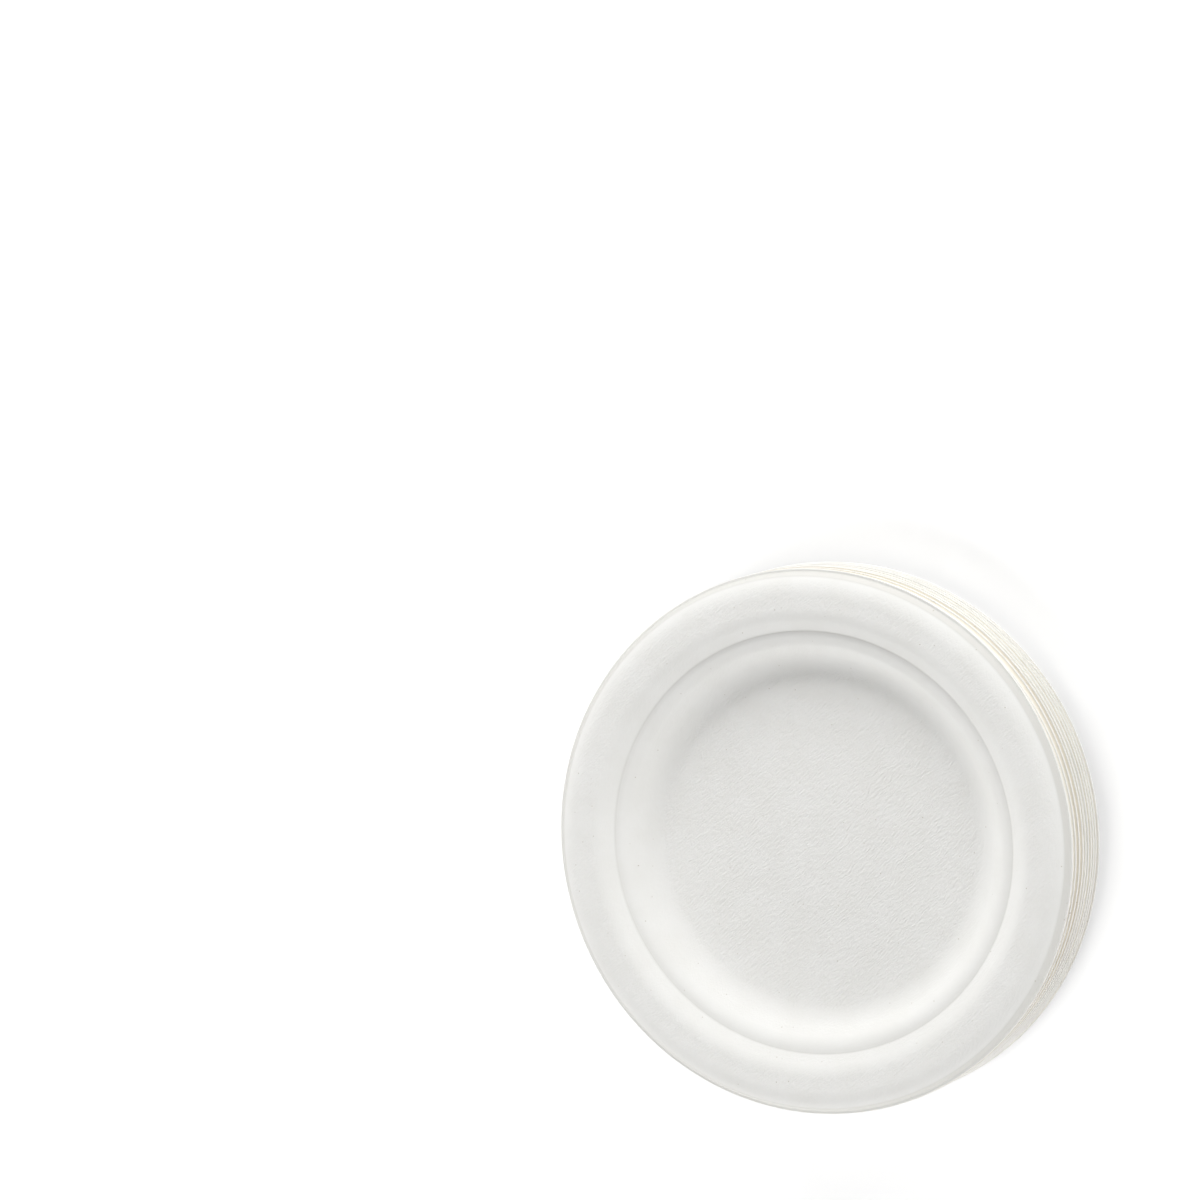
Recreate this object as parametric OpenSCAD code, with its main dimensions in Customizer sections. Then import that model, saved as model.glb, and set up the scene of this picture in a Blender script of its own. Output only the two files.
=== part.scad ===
// A stack of round moulded-fibre plates, nested in one another and lying flat.
// Millimetres, +Z up. The origin is the middle of the bottom plate's base.
//
// Every plate is one pressed sheet of even thickness. From the middle outwards it has a flat
// floor, a curved wall, a narrow shelf that ends in a crease, a riser, a broad crowned rim,
// a steep skirt and a small flat lip with a square cut edge.

/* [Plate] */
// Diameter over the cut edge
plate_d = 155; // [130:1:270]
// Thickness of the pressed sheet
sheet_t = 0.85; // [0.6:0.05:1.1]

/* [Rim] */
// Width of the flat lip outside the skirt
lip_w = 0.8; // [0.6:0.1:4]
// Height of the steep skirt above the lip
skirt_h = 2.1; // [1.6:0.1:5]
// Slope of the skirt in degrees, on which the plates nest
skirt_angle = 66; // [55:1:70]
// Fall of the rim from its top to the head of the skirt
brow_h = 2.1; // [1.8:0.1:5]
// Slope of the rim where it meets the skirt, in degrees
brow_angle = 37; // [25:1:48]
// Width of the top of the rim, between its two slopes
rim_w = 8.2; // [6:0.1:25]
// Height of the riser between the crease and the top of the rim
riser_h = 3; // [2:0.1:6]
// Slope of the riser in degrees
riser_angle = 33; // [20:1:45]

/* [Well] */
// Width of the narrow shelf between the wall and the crease
shelf_w = 3.1; // [2.5:0.1:8]
// Slope of the shelf in degrees
shelf_angle = 2; // [0:1:8]
// Height of the wall between the floor and the shelf
wall_h = 6.5; // [5:0.1:16]
// Slope of the wall in degrees
wall_angle = 46; // [30:1:55]

/* [Bends] */
// Radius where the floor turns up into the wall
foot_round = 9; // [3:0.5:12]
// Radius under the shoulder, where the wall turns into the shelf
shoulder_round = 4.6; // [2:0.2:8]
// Radius in the crease, where the shelf meets the riser
crease_round = 0.4; // [0.2:0.1:1.5]
// Radius under the head of the riser
riser_round = 7; // [3:0.5:10]
// Radius under the outer shoulder of the rim
brow_round = 8; // [3:0.2:10]
// Radius under the head of the skirt
skirt_round = 0.4; // [0.2:0.1:1.5]
// Radius where the skirt turns out into the lip
lip_round = 0.5; // [0.3:0.1:1]

/* [Stack] */
// Number of plates
plate_count = 10; // [2:1:20]
// Room above each skirt in the tightest nest, measured straight up
nest_play = 0.12; // [0.08:0.02:0.6]
// How much the plates' gaps, tips and trims vary, from even (0) to loose (1)
unevenness = 1; // [0:0.1:1]

/* [Hidden] */
$fn = 180;
bend_step = 8;
paper = "#efeee9";

// How each plate lies on the one beneath it, from the bottom plate up:
// [extra gap in mm, tip in degrees, side that the tip lifts, shift of the trim in mm, its side].
// Sides are degrees round +Z from +X. A taller stack starts the list again.
LIE = [
  [0.00, 0.00,   0, 0.20, -53],
  [0.05, 0.05, 194, 0.08, 111],
  [0.03, 0.06, 185, 0.04,  60],
  [0.03, 0.05, 187, 0.10,  55],
  [0.18, 0.04, 163, 0.06,  55],
  [0.26, 0.05, 133, 0.05, -54],
  [0.26, 0.04, 133, 0.07,  48],
  [0.52, 0.06,  79, 0.15, -90],
  [0.30, 0.06,  36, 0.36, 242],
  [0.02, 0.08, 253, 0.05, 200]
];
trim_reach = max([for (row = LIE) row[3]]);

// Heights of the upper face above the floor
crease_z = wall_h + shelf_w * tan(shelf_angle);
rim_z = crease_z + riser_h;
brow_z = rim_z - brow_h;
lip_z = brow_z - skirt_h;

// Radii of its corners, from the cut edge inwards
plate_r = plate_d / 2;
lip_r = plate_r - lip_w;
brow_r = lip_r - skirt_h / tan(skirt_angle);
rim_r = brow_r - brow_h / tan(brow_angle);
riser_r = rim_r - rim_w;
crease_r = riser_r - riser_h / tan(riser_angle);
shoulder_r = crease_r - shelf_w;
foot_r = shoulder_r - wall_h / tan(wall_angle);
blank_r = plate_r + trim_reach + 0.5;

// Corners of the upper face as if every bend were sharp, each with the radius on its tight side
CORNERS = [
  [[0, 0], 0],
  [[foot_r, 0], foot_round],
  [[shoulder_r, wall_h], shoulder_round],
  [[crease_r, crease_z], crease_round],
  [[riser_r, rim_z], riser_round],
  [[rim_r, rim_z], brow_round],
  [[brow_r, brow_z], skirt_round],
  [[lip_r, lip_z], lip_round],
  [[blank_r, lip_z], 0]
];
last_corner = len(CORNERS) - 1;

// In a tight nest the skirts meet first, because they are the steepest stretch of the sheet
nest_pitch = sheet_t / cos(skirt_angle) + nest_play;
// The skirts nest like cups, so a plate tips about the point where their normals meet the axis
tip_z = sheet_t + (brow_z + lip_z) / 2 - (brow_r + lip_r) / 2 / tan(skirt_angle);

// Slope of the stretch from corner i to the next, in degrees
function slope(i) = let (run = CORNERS[i + 1][0] - CORNERS[i][0]) atan2(run[1], run[0]);

// Turn of the upper face at corner i: upwards is positive, and the ends don't turn
function turn(i) = i == 0 || i == last_corner ? 0 : slope(i) - slope(i - 1);

// Radius of the upper face at corner i: its tight side is above an upward turn, else below
function upper_round(i) = CORNERS[i][1] + (turn(i) < 0 ? sheet_t : 0);

// Distance from corner i back to where its bend starts
function wanted_reach(i) = upper_round(i) * tan(abs(turn(i)) / 2);

// The same, kept inside this bend's share of the stretch between corners i and j
function share(i, j) = norm(CORNERS[j][0] - CORNERS[i][0]) * wanted_reach(i)
  / (wanted_reach(i) + wanted_reach(j));
function reach(i) = min(wanted_reach(i), share(i, i - 1), share(i, i + 1));

// Points round the bend at corner i, on the face that lies this deep under the upper one
function bend(i, depth) =
  let (
    start_slope = slope(i - 1),
    side = sign(turn(i)),
    radius = reach(i) / tan(abs(turn(i)) / 2),
    start = CORNERS[i][0] - reach(i) * [cos(start_slope), sin(start_slope)],
    centre = start + side * radius * [-sin(start_slope), cos(start_slope)],
    steps = ceil(abs(turn(i)) / bend_step)
  )
  [for (k = [0 : steps])
    let (a = start_slope + turn(i) * k / steps)
    centre + side * (radius + side * depth) * [sin(a), -cos(a)]];

// One whole face from the axis to the edge of the untrimmed blank
function face(depth) = concat(
  [[0, -depth]],
  [for (i = [1 : last_corner - 1]) each bend(i, depth)],
  [[blank_r, lip_z - depth]]
);

function reversed(points) = [for (i = [len(points) - 1 : -1 : 0]) points[i]];

// A point at this distance on this side, such as a tip or a shift
function polar(size, side) = size * [cos(side), sin(side)];

// Height of plate i's base, and its tip from level, both added up from the bottom
function lie(i) = LIE[i % len(LIE)];
function base_z(i) = i == 0 ? 0 : base_z(i - 1) + nest_pitch + unevenness * lie(i)[0];
function tip(i) = i == 0 ? [0, 0] : tip(i - 1) + unevenness * polar(lie(i)[1], lie(i)[2]);

// The pressed sheet before trimming, with its base at z = 0
module blank() {
  translate([0, 0, sheet_t])
    rotate_extrude()
      polygon(concat(face(0), reversed(face(sheet_t))));
}

// One plate, cut round a circle that may lie a little off the middle of the form
module plate(trim = [0, 0]) {
  intersection() {
    blank();
    translate([trim[0], trim[1], -sheet_t])
      cylinder(r = plate_r, h = rim_z + 3 * sheet_t);
  }
}

// Plate i where it lies in the stack
module stacked_plate(i) {
  side = atan2(tip(i)[1], tip(i)[0]);
  color(paper)
    translate([0, 0, base_z(i) + tip_z])
      rotate([0, 0, side])
        rotate([0, -norm(tip(i)), 0])
          rotate([0, 0, -side])
            translate([0, 0, -tip_z])
              plate(unevenness * polar(lie(i)[3], lie(i)[4]));
}

for (i = [0 : plate_count - 1])
  stacked_plate(i);
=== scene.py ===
"""Looks of a nested stack of round moulded-fibre plates.

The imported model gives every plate's place: where its base lies, how far it tips and where its
edge was trimmed. Each plate is turned afresh here from the section of the pressed sheet, with
the slight unevenness of pressed pulp, and is dressed in a felt-like off-white fibre finish.

Sizes are millimetres unless a docstring says metres. Sides are degrees round +Z from +X.
"""

import logging
import math
from dataclasses import dataclass, field
from enum import Enum
from typing import ClassVar, Self

import bpy
import numpy as np
from mathutils import Matrix, Vector


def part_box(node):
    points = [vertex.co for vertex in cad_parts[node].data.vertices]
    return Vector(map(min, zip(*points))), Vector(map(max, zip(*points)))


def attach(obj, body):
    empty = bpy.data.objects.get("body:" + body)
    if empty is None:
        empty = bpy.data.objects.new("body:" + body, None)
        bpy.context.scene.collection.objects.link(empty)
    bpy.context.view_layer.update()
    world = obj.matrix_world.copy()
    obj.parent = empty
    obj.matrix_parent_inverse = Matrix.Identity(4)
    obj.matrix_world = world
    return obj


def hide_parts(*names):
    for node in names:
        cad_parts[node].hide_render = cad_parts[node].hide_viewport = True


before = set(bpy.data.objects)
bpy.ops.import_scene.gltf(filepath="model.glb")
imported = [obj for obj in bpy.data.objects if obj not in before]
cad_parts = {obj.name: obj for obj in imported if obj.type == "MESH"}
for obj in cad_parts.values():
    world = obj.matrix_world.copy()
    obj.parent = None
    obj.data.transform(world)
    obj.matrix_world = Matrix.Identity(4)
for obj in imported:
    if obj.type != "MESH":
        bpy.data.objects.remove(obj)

LOG = logging.getLogger("plates")
MM = 0.001
FIRST_SEED = 31
WHITE = (1.0, 1.0, 1.0, 1.0)

Colour = tuple[float, float, float]
Stops = tuple[tuple[float, float], ...]
Value = bpy.types.NodeSocket | float | tuple[float, ...]


def slope(degrees: float) -> float:
    """Rise over run of a stretch that leans this many degrees from level."""
    return math.tan(math.radians(degrees))


def axes_about(normal: Vector) -> Matrix:
    """Square axes round one direction.

    Args:
        normal: The direction.

    Returns:
        Axes as columns, with z along the direction and x as near to +X as that allows.
    """
    z = normal.normalized()
    x = (Vector((1, 0, 0)) - z.x * z).normalized()
    return Matrix((x, z.cross(x), z)).transposed()


def read_items(items: bpy.types.bpy_prop_collection, name: str, width: int,
               kind: type = np.float64) -> np.ndarray:
    """Reads one property of every item of a mesh.

    Args:
        items: The mesh's vertices or triangles.
        name: The property.
        width: How many numbers the property has.
        kind: Type of the numbers.

    Returns:
        One row for each item.
    """
    values = np.empty(len(items) * width, kind)
    items.foreach_get(name, values)
    return values.reshape(len(items), width)


class Mark(Enum):
    """Numbers that each vertex of a plate carries for its finish.

    FORM_RADIUS is its distance from the plate's own axis before trim and dents, in metres.
    IN_GAP is 1 on the lip's faces inside a gap between two plates, where the finish lays painted
    light and shade, and 0 elsewhere. OWN_SHIFT is how far this plate's specks are shifted against
    the top plate's, in metres.
    """

    FORM_RADIUS = "form_radius"
    IN_GAP = "in_gap"
    OWN_SHIFT = "own_shift"


class GapPaint(Enum):
    """Painted light and shade on the lips' faces inside the gap under the next plate.

    Thin pulp lets light through, so the faces in a close gap get painted light, a colour lighter
    than the open sheet, and those in a wide one, where the light has gone deeper, get a browner
    colour, painted shade.
    """

    LIGHT = (0.985, 0.96, 0.9)
    PAINTED_GLOW_AND_SHADE = (0.955, 0.92, 0.84)
    BROWN = (0.93, 0.88, 0.78)


@dataclass(frozen=True)
class Fineness:
    """How finely a plate is turned: segments go round, and rings follow the section.

    A bend has a ring for each bend_step degrees, and a flat stretch one for each flat_step.
    """

    segments: int
    bend_step: float
    flat_step: float


class Detail(Enum):
    """Fineness of the plates that are seen whole and of those nested between them."""

    SHOWN = Fineness(segments=360, bend_step=3.0, flat_step=2.2)
    NESTED = Fineness(segments=300, bend_step=8.0, flat_step=12.0)


@dataclass(frozen=True)
class PlateSection:
    """Section of one pressed plate, with the sheet lying on its base."""

    FEWEST_BEND_STEPS: ClassVar[int] = 3
    FEWEST_EDGE_STEPS: ClassVar[int] = 2
    EDGE_COARSER: ClassVar[int] = 6

    diameter: float = 155.0
    sheet: float = 0.85
    lip_width: float = 0.8
    skirt_height: float = 2.1
    skirt_angle: float = 66.0
    brow_height: float = 2.1
    brow_angle: float = 37.0
    rim_width: float = 8.2
    riser_height: float = 3.0
    riser_angle: float = 33.0
    shelf_width: float = 3.1
    shelf_angle: float = 2.0
    wall_height: float = 6.5
    wall_angle: float = 46.0
    foot_round: float = 9.0
    shoulder_round: float = 4.6
    crease_round: float = 0.4
    riser_round: float = 7.0
    brow_round: float = 8.0
    skirt_round: float = 0.4
    lip_round: float = 0.5
    edge_round: float = 0.14

    @property
    def radius(self) -> float:
        """Radius of the cut edge."""
        return self.diameter / 2

    @property
    def crease_height(self) -> float:
        """Height of the crease above the floor."""
        return self.wall_height + self.shelf_width * slope(self.shelf_angle)

    @property
    def lip_height(self) -> float:
        """Height of the lip's upper face above the base."""
        fall = self.brow_height + self.skirt_height
        return self.sheet + self.crease_height + self.riser_height - fall

    def corners(self) -> list[tuple[float, float, float]]:
        """Corners of the upper face as if every bend were sharp, from the axis to the edge.

        Returns:
            Radius, height above the floor and tight-side bend radius of each corner.
        """
        rim_z = self.crease_height + self.riser_height
        brow_z = rim_z - self.brow_height
        lip_z = brow_z - self.skirt_height
        lip_r = self.radius - self.lip_width
        brow_r = lip_r - self.skirt_height / slope(self.skirt_angle)
        rim_r = brow_r - self.brow_height / slope(self.brow_angle)
        riser_r = rim_r - self.rim_width
        crease_r = riser_r - self.riser_height / slope(self.riser_angle)
        shoulder_r = crease_r - self.shelf_width
        foot_r = shoulder_r - self.wall_height / slope(self.wall_angle)
        return [
            (0.0, 0.0, 0.0),
            (foot_r, 0.0, self.foot_round),
            (shoulder_r, self.wall_height, self.shoulder_round),
            (crease_r, self.crease_height, self.crease_round),
            (riser_r, rim_z, self.riser_round),
            (rim_r, rim_z, self.brow_round),
            (brow_r, brow_z, self.skirt_round),
            (lip_r, lip_z, self.lip_round),
            (self.radius, lip_z, 0.0),
        ]

    def face(self, depth: float, fineness: Fineness) -> list[Vector]:
        """Points along one face of the sheet, from the axis to just inside the cut edge.

        Args:
            depth: How far the face lies under the upper one.
            fineness: How close the points lie.

        Returns:
            Points as (radius, height) above the base.
        """
        corners = [Vector(corner[:2]) for corner in self.corners()]
        rounds = [corner[2] for corner in self.corners()]
        lift = Vector((0.0, self.sheet))
        points = [Vector((0.0, -depth)) + lift]
        for i in range(1, len(corners) - 1):
            before, after = corners[i] - corners[i - 1], corners[i + 1] - corners[i]
            start = math.atan2(before.y, before.x)
            turn = math.atan2(after.y, after.x) - start
            side = math.copysign(1.0, turn)
            radius = rounds[i] + (self.sheet if turn < 0 else 0.0)
            reach = radius * math.tan(abs(turn) / 2)
            first = corners[i] - reach * Vector((math.cos(start), math.sin(start)))
            centre = first + side * radius * Vector((-math.sin(start), math.cos(start)))
            wanted = math.ceil(math.degrees(abs(turn)) / fineness.bend_step)
            steps = max(self.FEWEST_BEND_STEPS, wanted)
            for k in range(steps + 1):
                a = start + turn * k / steps
                spoke = Vector((math.sin(a), -math.cos(a)))
                points.append(centre + side * (radius + side * depth) * spoke + lift)
        points.append(corners[-1] - Vector((self.edge_round, depth)) + lift)
        return self.fill_in(points, fineness.flat_step)

    @staticmethod
    def fill_in(points: list[Vector], longest: float) -> list[Vector]:
        """Adds points wherever two neighbours lie too far apart.

        Args:
            points: Points along a line.
            longest: Greatest distance allowed between neighbours.

        Returns:
            The points with those added.
        """
        filled = [points[0]]
        for a, b in zip(points, points[1:]):
            parts = max(1, math.ceil((b - a).length / longest))
            filled += [a.lerp(b, k / parts) for k in range(1, parts + 1)]
        return filled

    def cut_edge(self, fineness: Fineness) -> list[Vector]:
        """Points down the cut edge, with its two softened corners.

        Args:
            fineness: How close the points lie. These small bends have fewer than the others.

        Returns:
            Points as (radius, height) above the base, from top to bottom.
        """
        wanted = round(90 / (self.EDGE_COARSER * fineness.bend_step))
        steps = max(self.FEWEST_EDGE_STEPS, wanted)
        angles = [math.radians(90 * k / steps) for k in range(steps + 1)]
        turns = [self.edge_round * Vector((math.sin(a), math.cos(a))) for a in angles]
        top = Vector((self.radius - self.edge_round, self.lip_height - self.edge_round))
        bottom = top - Vector((0.0, self.sheet - 2 * self.edge_round))
        upper = [top + turn for turn in turns[1:]]
        lower = [bottom + Vector((turn.y, -turn.x)) for turn in turns[:-1]]
        return upper + lower

    def outline(self, fineness: Fineness) -> list[Vector]:
        """The closed section.

        Args:
            fineness: How close the points lie.

        Returns:
            Points from the axis over the upper face, the edge and the underside to the axis.
        """
        upper = self.face(0.0, fineness)
        under = self.face(self.sheet, fineness)
        return upper + self.cut_edge(fineness) + under[::-1]


@dataclass(frozen=True)
class Place:
    """Where one plate lies: the middle of its base, its axis and the middle of its trim, in metres.

    The edge of a flat base lies between the two BASE radii, in metres, and a base's faces lean
    no more than BASE_LEAN degrees.
    """

    BASE_LEAN: ClassVar[float] = 1.2
    BASE_FROM: ClassVar[float] = 0.044
    BASE_TO: ClassVar[float] = 0.047

    base: Vector
    axis: Vector
    trim: Vector

    @classmethod
    def of_node(cls, node: str) -> Self:
        """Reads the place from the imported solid.

        Args:
            node: Name of the plate's CAD node.

        Returns:
            The place in the row frame.
        """
        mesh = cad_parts[node].data
        mesh.calc_loop_triangles()
        corners = read_items(mesh.loop_triangles, "vertices", 3, np.int32)
        normals = read_items(mesh.loop_triangles, "normal", 3)
        areas = read_items(mesh.loop_triangles, "area", 1)
        points = read_items(mesh.vertices, "co", 3)
        middles = points[corners].mean(1)
        level = normals[:, 2] < -math.cos(math.radians(cls.BASE_LEAN))
        under = level & (np.hypot(middles[:, 0], middles[:, 1]) < cls.BASE_TO)
        axis = -(normals[under] * areas[under]).sum(0)
        axis /= np.linalg.norm(axis)
        edge = points[np.unique(corners[under])]
        edge = edge[np.hypot(edge[:, 0], edge[:, 1]) > cls.BASE_FROM]
        low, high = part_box(node)
        trim = (low + high) / 2
        return cls(Vector((edge.min(0) + edge.max(0)) / 2), Vector(axis), Vector((trim.x, trim.y, 0.0)))

    def matrix(self) -> Matrix:
        """Turns and shifts a plate modelled upright at the origin to this place."""
        turn = Vector((0, 0, 1)).rotation_difference(self.axis)
        return Matrix.Translation(self.base) @ turn.to_matrix().to_4x4()

    def trim_shift(self, lip_height: float) -> Vector:
        """Shift of the trimmed circle from the plate's own axis.

        Args:
            lip_height: Height of the lip above the base, in metres.

        Returns:
            The shift in the plate's own plane, in metres.
        """
        middle = self.base + self.axis * lip_height
        return Vector((self.trim.x - middle.x, self.trim.y - middle.y))


@dataclass(frozen=True)
class PressUnevenness:
    """Small ways in which pressed pulp leaves its form.

    The bow and swell come from the mould, so that all plates share them and still nest. The
    waves of the lip are each plate's own. The paces say how fast the swell changes across its
    own direction, against swell_length.
    """

    bow: float = 0.16
    bow_side: float = 35.0
    bow_power: int = 3
    swell: float = 0.05
    swell_length: float = 26.0
    swell_bend: float = 1.3
    bend_pace: float = 0.6
    cross_pace: float = 0.8
    swell_from: float = 40.0
    swell_full: float = 60.0
    lip_wave: float = 0.06
    trim_wave: float = 0.016
    fewest_waves: int = 2
    most_waves: int = 7
    lip_from: float = 76.2
    lip_full: float = 77.2

    def apply(self, points: np.ndarray, radius: float, seed: int) -> np.ndarray:
        """Moves the points of an upright plate off their even form.

        Args:
            points: The points.
            radius: Radius of the plate.
            seed: Number that sets this plate's own waves.

        Returns:
            The moved points.
        """
        x, y, z = points.T
        r, side = np.hypot(x, y), np.arctan2(y, x)
        saddle = np.cos(2 * (side - math.radians(self.bow_side)))
        z = z + self.bow * (r / radius) ** self.bow_power * saddle
        z = z + self.swell * self.growth(r, self.swell_from, self.swell_full) * self.lumps(x, y)
        draw = np.random.default_rng(seed)
        on_lip = self.growth(r, self.lip_from, self.lip_full)
        for turns in range(self.fewest_waves, self.most_waves + 1):
            size = draw.normal() / math.sqrt(turns)
            start = draw.uniform(0, 2 * math.pi)
            z = z + self.lip_wave * size * on_lip * np.cos(turns * side + start)
            wave = self.trim_wave * size * on_lip * np.cos(turns * side - start)
            x, y = x + wave * np.cos(side), y + wave * np.sin(side)
        return np.stack([x, y, z], axis=1)

    def lumps(self, x: np.ndarray, y: np.ndarray) -> np.ndarray:
        """Pattern of the swell.

        Args:
            x: Place of each point towards +X.
            y: Place of each point towards +Y.

        Returns:
            Its height, from -1 to 1.
        """
        k = 2 * math.pi / self.swell_length
        bent = k * x + self.swell_bend * np.sin(self.bend_pace * k * y)
        return np.sin(bent) * np.cos(self.cross_pace * k * y)

    @staticmethod
    def growth(r: np.ndarray, start: float, full: float) -> np.ndarray:
        """Goes from 0 to 1 as the radius goes from start to full."""
        return np.clip((r - start) / (full - start), 0, 1)


@dataclass(frozen=True)
class Graph:
    """Adds nodes to the tree of one material or world.

    A curve along the radius goes on for CURVE_MARGIN past its last stop.
    """

    CURVE_MARGIN: ClassVar[float] = 2.0

    tree: bpy.types.NodeTree

    def add(self, kind: str, inputs: dict[str | int, Value], **options: str) -> bpy.types.Node:
        """Adds a node.

        Args:
            kind: Type of the node, after its word ShaderNode.
            inputs: What goes into each of its inputs, by the input's name or number.
            options: The node's own options.

        Returns:
            The node.
        """
        node = self.tree.nodes.new(f"ShaderNode{kind}")
        for name, value in options.items():
            setattr(node, name, value)
        self.feed(node, inputs)
        return node

    def feed(self, node: bpy.types.Node, inputs: dict[str | int, Value]) -> None:
        """Links a node's inputs to other nodes' outputs, or sets them to a number or a colour.

        Args:
            node: The node.
            inputs: What goes into each input, by the input's name or number.
        """
        for name, value in inputs.items():
            if isinstance(value, bpy.types.NodeSocket):
                self.tree.links.new(value, node.inputs[name])
            else:
                node.inputs[name].default_value = value

    def mark(self, mark: Mark) -> bpy.types.NodeSocket:
        """Reads a number that each vertex carries."""
        return self.add("Attribute", {}, attribute_name=mark.value).outputs["Fac"]

    def combine(self, operation: str, a: Value, b: Value) -> bpy.types.NodeSocket:
        """Combines two numbers."""
        return self.add("Math", {0: a, 1: b}, operation=operation).outputs["Value"]

    def noise(self, place: Value, size: float, detail: float, roughness: float) -> bpy.types.Node:
        """Adds smooth noise.

        Args:
            place: Coordinates in metres.
            size: Distance between its lumps.
            detail: How many finer layers it has.
            roughness: Strength of each finer layer against the one before.

        Returns:
            The noise node.
        """
        inputs = {"Vector": place, "Scale": 1 / (size * MM), "Detail": detail, "Roughness": roughness}
        return self.add("TexNoise", inputs)

    def ramp(self, value: Value, low: float, high: float,
             interpolation: str = "SMOOTHSTEP") -> bpy.types.NodeSocket:
        """Maps low to 0 and high to 1, and holds the value between them.

        Args:
            value: The number to map.
            low: What becomes 0.
            high: What becomes 1.
            interpolation: SMOOTHSTEP to ease, or LINEAR.

        Returns:
            The mapped number.
        """
        inputs = {"Value": value, "From Min": low, "From Max": high}
        return self.add("MapRange", inputs, interpolation_type=interpolation).outputs["Result"]

    def along(self, radius: Value, stops: Stops) -> bpy.types.NodeSocket:
        """A number that changes with the radius.

        Args:
            radius: Distance from the plate's axis, in metres.
            stops: Radius and number of each stop, from the axis outwards, eased between.

        Returns:
            The number.
        """
        reach = stops[-1][0] + self.CURVE_MARGIN
        curve = self.add("ValToRGB", {"Fac": self.ramp(radius, 0.0, reach * MM, "LINEAR")})
        curve.color_ramp.interpolation = "EASE"
        for _ in stops[2:]:
            curve.color_ramp.elements.new(0.5)
        for element, (at, value) in zip(curve.color_ramp.elements, stops):
            element.position = at / reach
            element.color = (value, value, value, 1)
        return curve.outputs["Color"]

    def mix(self, share: Value, a: Value, b: Colour) -> bpy.types.NodeSocket:
        """Goes from colour a to colour b as the share goes from 0 to 1."""
        inputs = {"Factor": share, "A": a, "B": (*b, 1.0)}
        return self.add("Mix", inputs, data_type="RGBA").outputs["Result"]


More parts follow.
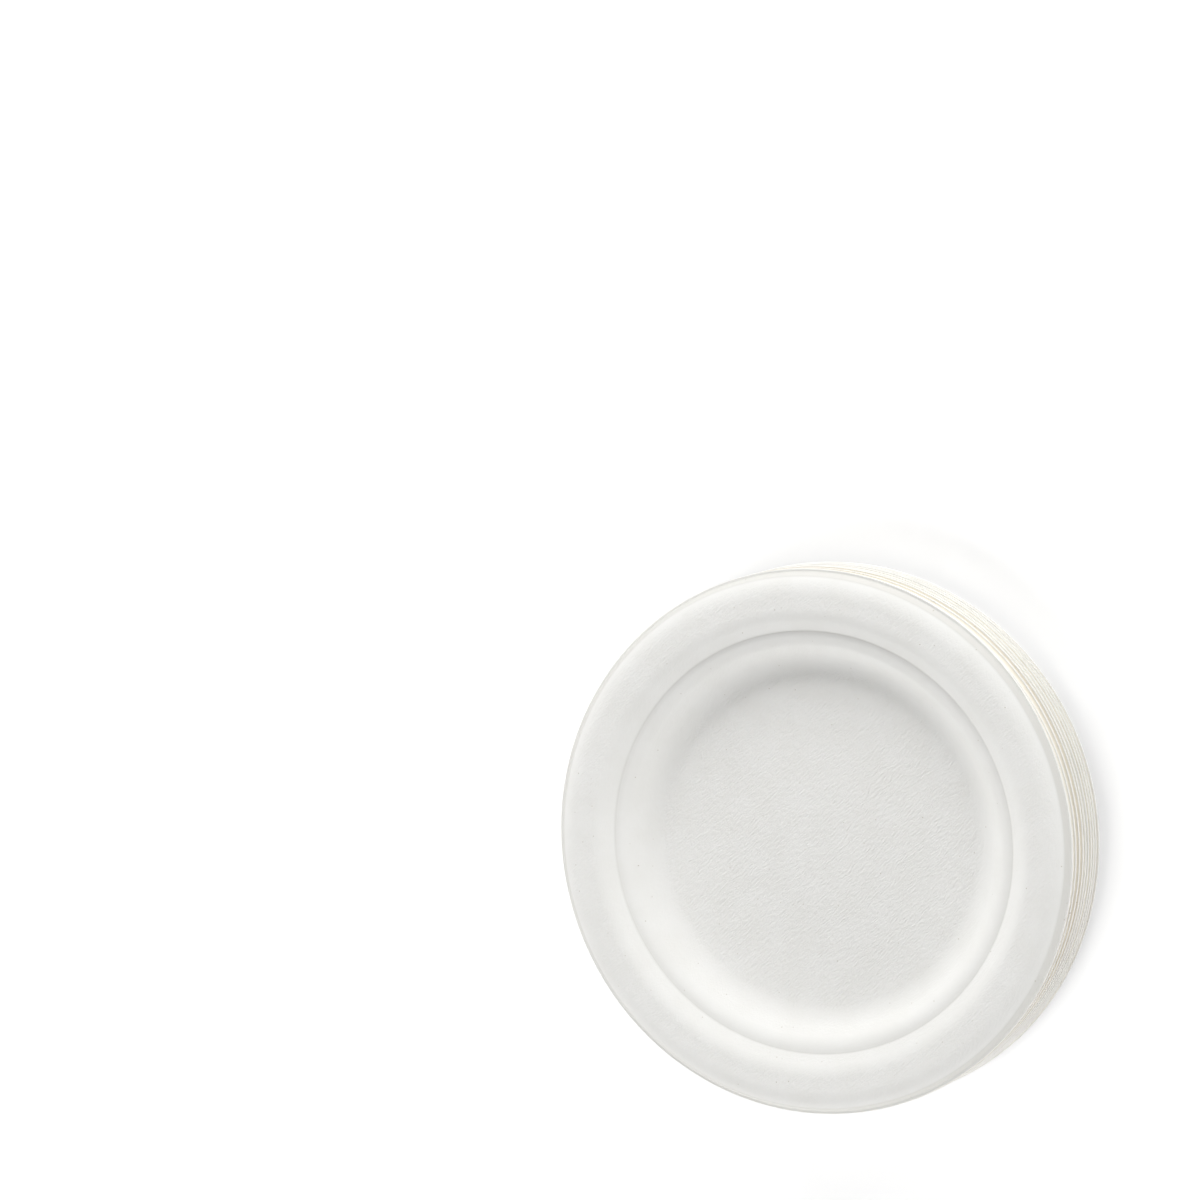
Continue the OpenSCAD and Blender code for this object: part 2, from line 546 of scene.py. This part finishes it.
@dataclass(frozen=True)
class FibreFinish:
    """Matt off-white pulp with a felted surface: short fibres, faint clouds and rare specks.

    The stops of relief_at say, from the axis outwards, how strong the relief of the felt is: it is
    left on flat stretches and ironed out on steep ones. The second set of stops lays painted shade,
    a darker colour in the crease and under the brow, where shade falls. The cut
    edge's own colour comes in between edge_from and edge_full.

    A size is the distance between a noise's lumps, a detail the number of its finer layers, and
    a range the two noise values between which a change goes from none to full.
    """

    # Painted light, or light and shade, on the lips' faces inside a gap.
    gap_paint: GapPaint = GapPaint.LIGHT

    colour: Colour = (0.862, 0.858, 0.835)
    cloud_colour: Colour = (0.845, 0.84, 0.813)
    # Painted shade: the darker colour laid in the crease and under the brow.
    painted_shade_colour: Colour = (0.7, 0.69, 0.655)
    edge_colour: Colour = (0.895, 0.885, 0.855)
    speck_colour: Colour = (0.5, 0.46, 0.38)
    roughness: float = 0.92
    specular: float = 0.25
    cloud_size: float = 11.0
    cloud_detail: float = 4.0
    cloud_range: tuple[float, float] = (0.35, 0.65)
    noise_roughness: float = 0.55
    grain: float = 0.38
    fibre_length: float = 1.65
    fibre_width: float = 0.46
    fibre_detail: float = 1.0
    fibre_share: float = 2.6
    fibre_directions: tuple[float, ...] = (45.0, 60.0)
    wander: float = 1.3
    wander_size: float = 7.0
    wander_roughness: float = 0.5
    relief: float = 0.06
    speck_spacing: float = 8.5
    speck_radius: float = 0.19
    speck_range: tuple[float, float] = (0.3, 1.0)
    relief_at: Stops = (
        (0, 1.0), (46, 1.0), (50, 0.35), (57, 0.2), (64, 0.35), (67, 0.9), (73, 0.7), (75, 0.2),
        (76.5, 0.0))
    # Where painted shade darkens the pulp, from the axis outwards.
    painted_shade_at: Stops = (
        (0, 0.0), (58.2, 0.0), (59.6, 0.12), (60.1, 0.42), (60.6, 0.0), (75.2, 0.0), (75.75, 0.85),
        (76.7, 0.85), (77.1, 0.0))
    edge_from: float = 77.26
    edge_full: float = 77.38

    def build(self, name: str) -> bpy.types.Material:
        """Makes the node material.

        Args:
            name: Name of the material.

        Returns:
            The material.
        """
        material = bpy.data.materials.new(name)
        material.use_nodes = True
        graph = Graph(material.node_tree)
        place = graph.add("TexCoord", {}).outputs["Object"]
        radius = graph.mark(Mark.FORM_RADIUS)
        graph.feed(material.node_tree.nodes["Principled BSDF"], {
            "Base Color": self.tint(graph, place, radius),
            "Roughness": self.roughness,
            "Specular IOR Level": self.specular,
            "Normal": self.bump(graph, place, radius),
        })
        return material

    def tint(self, graph: Graph, place: Value, radius: Value) -> bpy.types.NodeSocket:
        """Colour of the pulp.

        Args:
            graph: The material's nodes.
            place: Coordinates in metres.
            radius: Distance from the plate's axis, in metres.

        Returns:
            The colour, with clouds, painted shade in the crease and under the brow, painted light and
            shade in the gaps, cut edge and specks laid over it.
        """
        clouds = graph.noise(place, self.cloud_size, self.cloud_detail, self.noise_roughness)
        cloudy = graph.ramp(clouds.outputs["Fac"], *self.cloud_range)
        pulp = graph.mix(cloudy, (*self.cloud_colour, 1.0), self.colour)
        # Painted shade in the crease and under the brow.
        pulp = graph.mix(graph.along(radius, self.painted_shade_at), pulp, self.painted_shade_colour)
        # Painted light on the lips' faces in a gap, with browner painted shade in the wider gaps.
        pulp = graph.mix(graph.mark(Mark.IN_GAP), pulp, self.gap_paint.value)
        cut = graph.ramp(radius, self.edge_from * MM, self.edge_full * MM)
        pulp = graph.mix(cut, pulp, self.edge_colour)
        return graph.mix(self.specks(graph, place), pulp, self.speck_colour)

    def specks(self, graph: Graph, place: Value) -> bpy.types.NodeSocket:
        """Rare dark bits in the pulp, at most one in each cell of speck_spacing.

        Args:
            graph: The material's nodes.
            place: Coordinates in metres.

        Returns:
            1 in the middle of a strong speck and 0 beside it. A cell's own random number, set
            against speck_range, says how strong its speck is.
        """
        shifted = graph.add("VectorMath", {0: place, 1: graph.mark(Mark.OWN_SHIFT)})
        inputs = {"Vector": shifted.outputs["Vector"], "Scale": 1 / (self.speck_spacing * MM)}
        cells = graph.add("TexVoronoi", inputs, voronoi_dimensions="2D")
        reach = self.speck_radius / self.speck_spacing
        inside = graph.ramp(cells.outputs["Distance"], reach, reach / 2)
        strength = graph.ramp(cells.outputs["Color"], *self.speck_range)
        return graph.combine("MULTIPLY", inside, strength)

    def bump(self, graph: Graph, place: Value, radius: Value) -> bpy.types.NodeSocket:
        """Relief of the felt, weaker where the press irons it out.

        Args:
            graph: The material's nodes.
            place: Coordinates in metres.
            radius: Distance from the plate's axis, in metres.

        Returns:
            The bumped normal.
        """
        inputs = {
            "Distance": self.relief * MM,
            "Height": self.fibres(graph, place),
            "Strength": graph.along(radius, self.relief_at),
        }
        return graph.add("Bump", inputs).outputs["Normal"]

    def fibres(self, graph: Graph, place: Value) -> bpy.types.NodeSocket:
        """Height of the felt: wandering streaks laid in a few directions over fine pulp.

        Args:
            graph: The material's nodes.
            place: Coordinates in metres.

        Returns:
            The height, before the bump's distance scales it.
        """
        bent = self.bend(graph, place)
        pulp = graph.noise(place, self.grain, self.fibre_detail, self.noise_roughness)
        height = pulp.outputs["Fac"]
        stretch = (self.fibre_length / self.fibre_width, 1, 1)
        for direction in self.fibre_directions:
            inputs = {"Vector": bent, "Rotation": (0, 0, math.radians(direction)), "Scale": stretch}
            turned = graph.add("Mapping", inputs, vector_type="TEXTURE").outputs["Vector"]
            streak = graph.noise(turned, self.fibre_width, self.fibre_detail, self.noise_roughness)
            strong = graph.combine("MULTIPLY", streak.outputs["Fac"], self.fibre_share)
            height = graph.combine("ADD", height, strong)
        return height

    def bend(self, graph: Graph, place: Value) -> bpy.types.NodeSocket:
        """Bends the coordinates slowly, so that the streaks curl and cross.

        Args:
            graph: The material's nodes.
            place: Coordinates in metres.

        Returns:
            The bent coordinates.
        """
        drift = graph.noise(place, self.wander_size, self.fibre_detail, self.wander_roughness)
        inputs = {0: drift.outputs["Color"], 1: (self.wander * MM,) * 3, 2: place}
        return graph.add("VectorMath", inputs, operation="MULTIPLY_ADD").outputs["Vector"]


@dataclass
class Press:
    """Turns each fineness of plate once and hands out copies of it."""

    WELD: ClassVar[float] = 0.004

    section: PlateSection
    turned: dict[Detail, bpy.types.Object] = field(default_factory=dict)

    def pressing(self, detail: Detail, name: str) -> bpy.types.Object:
        """Gives one upright plate at the origin.

        Args:
            detail: Fineness of the plate.
            name: Name of the new object.

        Returns:
            A plate with its own mesh.
        """
        if detail not in self.turned:
            self.turned[detail] = self.turn(detail.value)
        piece = self.turned[detail].copy()
        piece.data = piece.data.copy()
        piece.name = piece.data.name = name
        bpy.context.scene.collection.objects.link(piece)
        return piece

    def turn(self, fineness: Fineness) -> bpy.types.Object:
        """Draws the section point by point and spins it round the axis.

        Args:
            fineness: How close its rings and segments lie.

        Returns:
            An upright plate at the origin.
        """
        outline = self.section.outline(fineness)
        bpy.ops.object.select_all(action="DESELECT")
        bpy.ops.mesh.primitive_plane_add(size=MM, location=(0, 0, 0))
        piece = bpy.context.object
        bpy.ops.object.mode_set(mode="EDIT")
        bpy.ops.mesh.select_all(action="SELECT")
        bpy.ops.mesh.merge(type="CENTER")
        bpy.ops.transform.translate(value=(outline[0].x * MM, 0, outline[0].y * MM))
        for a, b in zip(outline, outline[1:]):
            step = ((b.x - a.x) * MM, 0, (b.y - a.y) * MM)
            bpy.ops.mesh.extrude_vertices_move(TRANSFORM_OT_translate={"value": step})
        bpy.ops.mesh.select_all(action="SELECT")
        bpy.ops.mesh.spin(steps=fineness.segments, angle=2 * math.pi, center=(0, 0, 0), axis=(0, 0, 1))
        bpy.ops.mesh.select_all(action="SELECT")
        bpy.ops.mesh.remove_doubles(threshold=self.WELD * MM)
        bpy.ops.mesh.normals_make_consistent(inside=False)
        bpy.ops.object.mode_set(mode="OBJECT")
        return piece

    def clear(self) -> None:
        """Removes the plates that the copies were taken from."""
        for piece in self.turned.values():
            bpy.data.objects.remove(piece)


@dataclass(frozen=True)
class Dent:
    """A stretch of the lip that is pushed in: its side, its spread in degrees and its depth."""

    side: float
    spread: float
    depth: float

    def depth_at(self, sides: np.ndarray) -> np.ndarray:
        """How far the lip is pushed in at these sides."""
        away = (sides - self.side + 180) % 360 - 180
        return self.depth * np.exp(-((away / self.spread) ** 2))


@dataclass
class Plate:
    """One pressed plate: its section, its place in the stack, its own waves and its dents.

    It has this many plates above and below it. The trim and the dents move only the lip, from
    lip_from outwards. The faces that lie in a gap start at gap_from and reach gap_slack past the
    flat of the lip, onto its soft corners. Each plate's specks lie speck_shift further along
    than those of the plate above.
    """

    SMOOTH_ANGLE: ClassVar[float] = 35.0

    node: str
    section: PlateSection
    place: Place
    detail: Detail
    seed: int
    above: int
    below: int
    dents: tuple[Dent, ...] = ()
    lip_from: float = 76.8
    gap_from: float = 76.5
    gap_slack: float = 0.02
    speck_shift: float = 23.7
    unevenness: PressUnevenness = field(default_factory=PressUnevenness)

    def build(self, press: Press, finish: bpy.types.Material) -> bpy.types.Object:
        """Presses the plate, puts it in its place and dresses it.

        Args:
            press: Gives upright plates of the section.
            finish: Material of the sheet.

        Returns:
            The finished piece, riding on the root body in place of its CAD node.
        """
        piece = press.pressing(self.detail, self.node.replace("plate", "fibre_plate"))
        self.shape(piece.data)
        self.settle(piece)
        piece.data.materials.append(finish)
        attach(piece, "root")
        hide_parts(self.node)
        LOG.info("%s: %d faces", piece.name, len(piece.data.polygons))
        return piece

    def shape(self, mesh: bpy.types.Mesh) -> None:
        """Gives the upright plate its waves, its marks, its trim and its dents.

        Args:
            mesh: Mesh of the plate at the origin, in metres.
        """
        points = read_items(mesh.vertices, "co", 3) / MM
        points = self.unevenness.apply(points, self.section.radius, self.seed)
        r = np.hypot(points[:, 0], points[:, 1])
        self.mark(mesh, Mark.FORM_RADIUS, r * MM)
        self.mark(mesh, Mark.IN_GAP, self.in_gap(r, points[:, 2]))
        self.mark(mesh, Mark.OWN_SHIFT, np.full(len(r), self.above * self.speck_shift * MM))
        shift = np.array(self.place.trim_shift(self.section.lip_height * MM)) / MM
        side = np.degrees(np.arctan2(points[:, 1], points[:, 0]))
        push = sum((dent.depth_at(side) for dent in self.dents), np.zeros(len(r)))
        inwards = -(push / np.maximum(r, 1.0))[:, None] * points[:, :2]
        lip_end = self.section.radius - self.section.edge_round
        on_lip = np.clip((r - self.lip_from) / (lip_end - self.lip_from), 0, 1)
        points[:, :2] += on_lip[:, None] * (shift + inwards)
        mesh.vertices.foreach_set("co", (points * MM).ravel())

    def in_gap(self, r: np.ndarray, z: np.ndarray) -> np.ndarray:
        """Tells which vertices lie on the lip's faces inside a gap between two plates.

        Args:
            r: Distance of each vertex from the plate's axis.
            z: Its height above the base.

        Returns:
            True for those in a gap.
        """
        section = self.section
        on_lip = (r > self.gap_from) & (r < section.radius - section.edge_round + self.gap_slack)
        upper = z > section.lip_height - section.sheet / 2
        return on_lip & np.where(upper, self.above > 0, self.below > 0)

    @staticmethod
    def mark(mesh: bpy.types.Mesh, mark: Mark, values: np.ndarray) -> None:
        """Gives every vertex a number that the finish reads."""
        layer = mesh.attributes.new(mark.value, "FLOAT", "POINT")
        layer.data.foreach_set("value", values.astype(np.float32))

    def settle(self, piece: bpy.types.Object) -> None:
        """Moves the upright plate's mesh to its place and shades it smooth.

        Args:
            piece: The plate, at the origin.
        """
        piece.matrix_world = self.place.matrix()
        bpy.ops.object.select_all(action="DESELECT")
        piece.select_set(True)
        bpy.context.view_layer.objects.active = piece
        bpy.ops.object.transform_apply(location=True, rotation=True, scale=True)
        bpy.ops.object.shade_smooth_by_angle(angle=math.radians(self.SMOOTH_ANGLE))


# Painted shade in the gaps of the plates whose lips look darker there. The others get the lightest
# painted glow.
GAP_PAINTS = {
    "plate_09": GapPaint.PAINTED_GLOW_AND_SHADE,
    "plate_08": GapPaint.BROWN,
    "plate_07": GapPaint.BROWN,
    "plate_04": GapPaint.PAINTED_GLOW_AND_SHADE,
}
# Dents of the plates that have any
DENTS = {
    "plate_10": (Dent(side=17, spread=24, depth=0.48),),
    "plate_09": (Dent(side=44, spread=20, depth=0.2),),
}


@dataclass(frozen=True)
class Stack:
    """All plates of the model, the lowest and the uppermost in full detail."""

    section: PlateSection

    def build(self) -> Place:
        """Builds every plate.

        Returns:
            The top plate's place.
        """
        # One material for each kind of painted light and shade in the gaps.
        finishes = {tone: FibreFinish(tone).build(f"{tone.name.lower()}_fibre") for tone in GapPaint}
        press = Press(self.section)
        nodes = sorted(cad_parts)
        places = [Place.of_node(node) for node in nodes]
        for below, (node, place) in enumerate(zip(nodes, places)):
            above = len(nodes) - 1 - below
            detail = Detail.NESTED if above and below else Detail.SHOWN
            plate = Plate(node, self.section, place, detail, FIRST_SEED + below, above, below,
                          DENTS.get(node, ()))
            plate.build(press, finishes[GAP_PAINTS.get(node, GapPaint.LIGHT)])
        press.clear()
        return places[-1]


@dataclass(frozen=True)
class PhotoCamera:
    """Long-lens camera that sees the top plate as the photograph does.

    The lip's middle is in plate radii, and both it and the plate's normal are in the camera's
    own axes: x to the right, y down and z away from it. The frame is a square of frame_points,
    in which the focal length is focal_points. The clipping distances are in metres.
    """

    frame_points: float = 1200.0
    focal_points: float = 6000.0
    lip_middle: tuple[float, float, float] = (0.7737, 0.8815, 21.815)
    plate_normal: tuple[float, float, float] = (-0.397, 0.096, -0.913)
    sensor: float = 36.0
    near: float = 0.05
    far: float = 20.0

    def build(self, top: Place, section: PlateSection) -> bpy.types.Object:
        """Places the camera and makes it the scene's.

        Args:
            top: Place of the top plate.
            section: Section of the plates.

        Returns:
            The camera.
        """
        turn = axes_about(top.axis) @ axes_about(Vector(self.plate_normal)).transposed()
        lip = top.base + top.axis.normalized() * section.lip_height * MM
        place = lip - turn @ (Vector(self.lip_middle) * section.radius * MM)
        axes = turn @ Matrix(((1, 0, 0), (0, -1, 0), (0, 0, -1)))
        data = bpy.data.cameras.new("camera")
        data.sensor_width = self.sensor
        data.lens = self.sensor * self.focal_points / self.frame_points
        data.clip_start = self.near
        data.clip_end = self.far
        camera = bpy.data.objects.new("camera", data)
        camera.matrix_world = Matrix.Translation(place) @ axes.to_4x4()
        bpy.context.scene.collection.objects.link(camera)
        bpy.context.scene.camera = camera
        return camera


@dataclass(frozen=True)
class Softbox:
    """One soft lamp, aimed at the middle of the stack, with its size and distance in metres.

    The level is what a white face turned to the lamp would render as.
    """

    name: str
    side: float
    elevation: float
    size: tuple[float, float]
    level: float
    distance: float = 1.5

    def build(self, target: Vector) -> bpy.types.Object:
        """Makes the area lamp.

        Args:
            target: Point that the lamp faces.

        Returns:
            The lamp.
        """
        side, rise = math.radians(self.side), math.radians(self.elevation)
        flat = math.cos(rise)
        away = Vector((math.cos(side) * flat, math.sin(side) * flat, math.sin(rise)))
        data = bpy.data.lights.new(self.name, "AREA")
        data.shape = "RECTANGLE"
        data.size, data.size_y = self.size
        data.energy = self.level * math.pi ** 2 * self.distance ** 2
        lamp = bpy.data.objects.new(self.name, data)
        lamp.visible_camera = False
        lamp.location = target + away * self.distance
        lamp.rotation_euler = (-away).to_track_quat("-Z", "Y").to_euler()
        bpy.context.scene.collection.objects.link(lamp)
        return lamp


SOFTBOXES = (
    Softbox("top_left_light", side=120, elevation=20, size=(0.85, 0.45), level=0.5),
    Softbox("top_light", side=90, elevation=20, size=(0.85, 0.45), level=0.28),
    Softbox("top_right_light", side=60, elevation=20, size=(0.85, 0.45), level=0.355),
    Softbox("high_light", side=240, elevation=58, size=(0.9, 0.55), level=0.455),
    Softbox("bottom_light", side=285, elevation=38, size=(0.9, 0.5), level=0.19),
    Softbox("low_left_light", side=220, elevation=6, size=(0.95, 0.25), level=0.34),
    Softbox("low_bottom_light", side=300, elevation=6, size=(0.85, 0.25), level=0.12),
    Softbox("low_right_light", side=0, elevation=6, size=(0.85, 0.25), level=0.265),
    Softbox("right_light", side=330, elevation=20, size=(0.85, 0.45), level=0.07),
)


@dataclass(frozen=True)
class Studio:
    """Plain pale floor of floor_size metres, soft lamps and a white backdrop."""

    lamps: tuple[Softbox, ...]
    floor_size: float = 6.0
    floor_colour: Colour = (0.86, 0.86, 0.86)
    seen_glow: float = 0.4

    def build(self, target: Vector) -> None:
        """Makes the floor, the backdrop and the lamps.

        Args:
            target: Point that the lamps face.
        """
        self.lay_floor()
        self.hang_backdrop()
        for lamp in self.lamps:
            lamp.build(target)

    def lay_floor(self) -> bpy.types.Object:
        """Lays a broad floor that keeps the shadow and that the camera sees a little brighter.

        Returns:
            The floor.
        """
        bpy.ops.object.select_all(action="DESELECT")
        bpy.ops.mesh.primitive_plane_add(size=self.floor_size, location=(0, 0, 0))
        floor = bpy.context.object
        floor.name = "floor"
        material = bpy.data.materials.new("floor")
        material.use_nodes = True
        graph = Graph(material.node_tree)
        seen = graph.add("LightPath", {}).outputs["Is Camera Ray"]
        graph.feed(material.node_tree.nodes["Principled BSDF"], {
            "Base Color": (*self.floor_colour, 1.0),
            "Roughness": 1.0,
            "Specular IOR Level": 0.0,
            "Emission Color": WHITE,
            "Emission Strength": graph.combine("MULTIPLY", seen, self.seen_glow),
        })
        floor.data.materials.append(material)
        return floor

    @staticmethod
    def hang_backdrop() -> None:
        """Makes a world that the camera sees as white and that lights nothing."""
        world = bpy.data.worlds.new("studio")
        bpy.context.scene.world = world
        world.use_nodes = True
        world.node_tree.nodes.clear()
        graph = Graph(world.node_tree)
        seen = graph.add("LightPath", {}).outputs["Is Camera Ray"]
        white = graph.add("Background", {"Color": WHITE, "Strength": seen})
        graph.add("OutputWorld", {"Surface": white.outputs["Background"]})


def main() -> None:
    """Builds the stack, the camera and the studio, and logs each plate's face count."""
    logging.basicConfig(level=logging.INFO, format="%(message)s")
    bpy.context.scene.view_settings.view_transform = "Standard"
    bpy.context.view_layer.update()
    section = PlateSection()
    top = Stack(section).build()
    PhotoCamera().build(top, section)
    Studio(SOFTBOXES).build(top.base)


if __name__ == "__main__":
    main()
